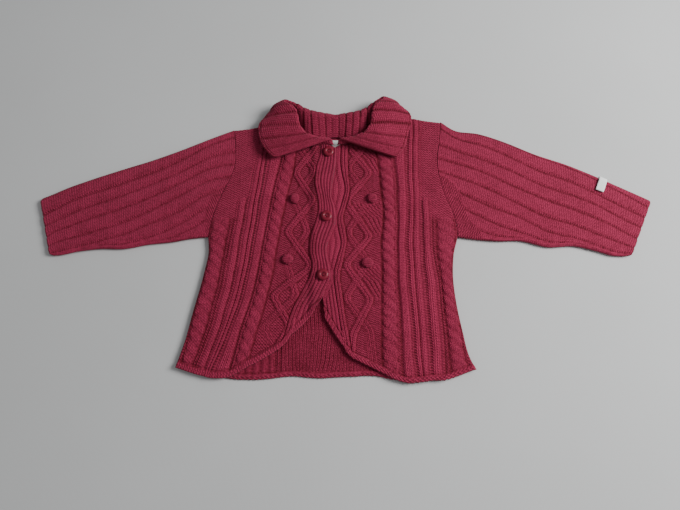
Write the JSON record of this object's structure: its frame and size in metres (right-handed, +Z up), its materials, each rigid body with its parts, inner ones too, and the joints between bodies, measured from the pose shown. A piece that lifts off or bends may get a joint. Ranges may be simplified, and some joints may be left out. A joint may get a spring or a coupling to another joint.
{
  "type": "baby cardigan",
  "caption": "Baby's cable-knit cardigan with a folded ribbed collar, cutaway front hem, buttons and knitted bobbles, laid flat with its sleeves out.",
  "frame": {"origin": "on the surface it lies on, under the middle of the cardigan's box", "axes": "+X across the garment to the viewer's right sleeve, +Y from the hem to the collar, +Z up from the surface"},
  "size_m": [0.713, 0.335, 0.0232],
  "materials": {
    "knit": "matte raspberry cotton yarn, knitted in cables and ribs",
    "button": "glossy raspberry plastic",
    "label": "plain white woven tape"
  },
  "bodies": {
    "root": {"back": "knit", "front_left": "knit", "front_right": "knit", "sleeve_left": "knit", "sleeve_right": "knit", "collar": "knit", "bobble_left_upper": "knit", "bobble_left_lower": "knit", "bobble_right_upper": "knit", "bobble_right_lower": "knit", "button_top": "button", "button_middle": "button", "button_bottom": "button", "neck_label": "label", "sleeve_label": "label"}
  },
  "joints": []
}
